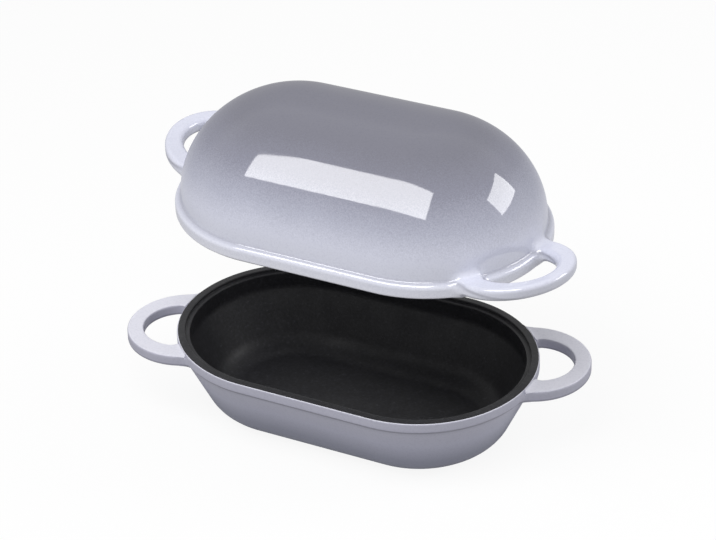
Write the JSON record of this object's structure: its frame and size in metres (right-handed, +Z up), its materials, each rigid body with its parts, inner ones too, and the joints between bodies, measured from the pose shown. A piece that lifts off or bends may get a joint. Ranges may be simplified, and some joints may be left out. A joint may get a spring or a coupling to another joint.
{
  "type": "cast iron bread pan",
  "caption": "Oblong enamelled cast iron bread pan with rounded ends and loop handles, and a tall domed lid that lifts off; bakes a loaf under its own steam.",
  "frame": {"origin": "under the middle of the base, on the plane that it stands on", "axes": "+X along the pan, +Z up; -Y is the long side that the picture shows"},
  "size_m": [0.3544, 0.179, 0.258],
  "materials": {
    "base_enamel": "glossy pale lilac-grey enamel on cast iron",
    "base_black_coat": "matte black enamel",
    "lid_enamel": "glossy enamel on cast iron, grey at the crown fading to pale lilac at the rim",
    "lid_black_coat": "matte black enamel"
  },
  "bodies": {
    "base": {"base_pan": "base_enamel", "base_inner_coat": "base_black_coat"},
    "lid": {"lid_dome": "lid_enamel", "lid_inner_coat": "lid_black_coat"}
  },
  "joints": [
    {"name": "lid_lift", "type": "slide", "parent": "base", "child": "lid", "axis": [0.0758, 0, 0.9971], "range_m": [-0.1055, 0.06]}
  ]
}
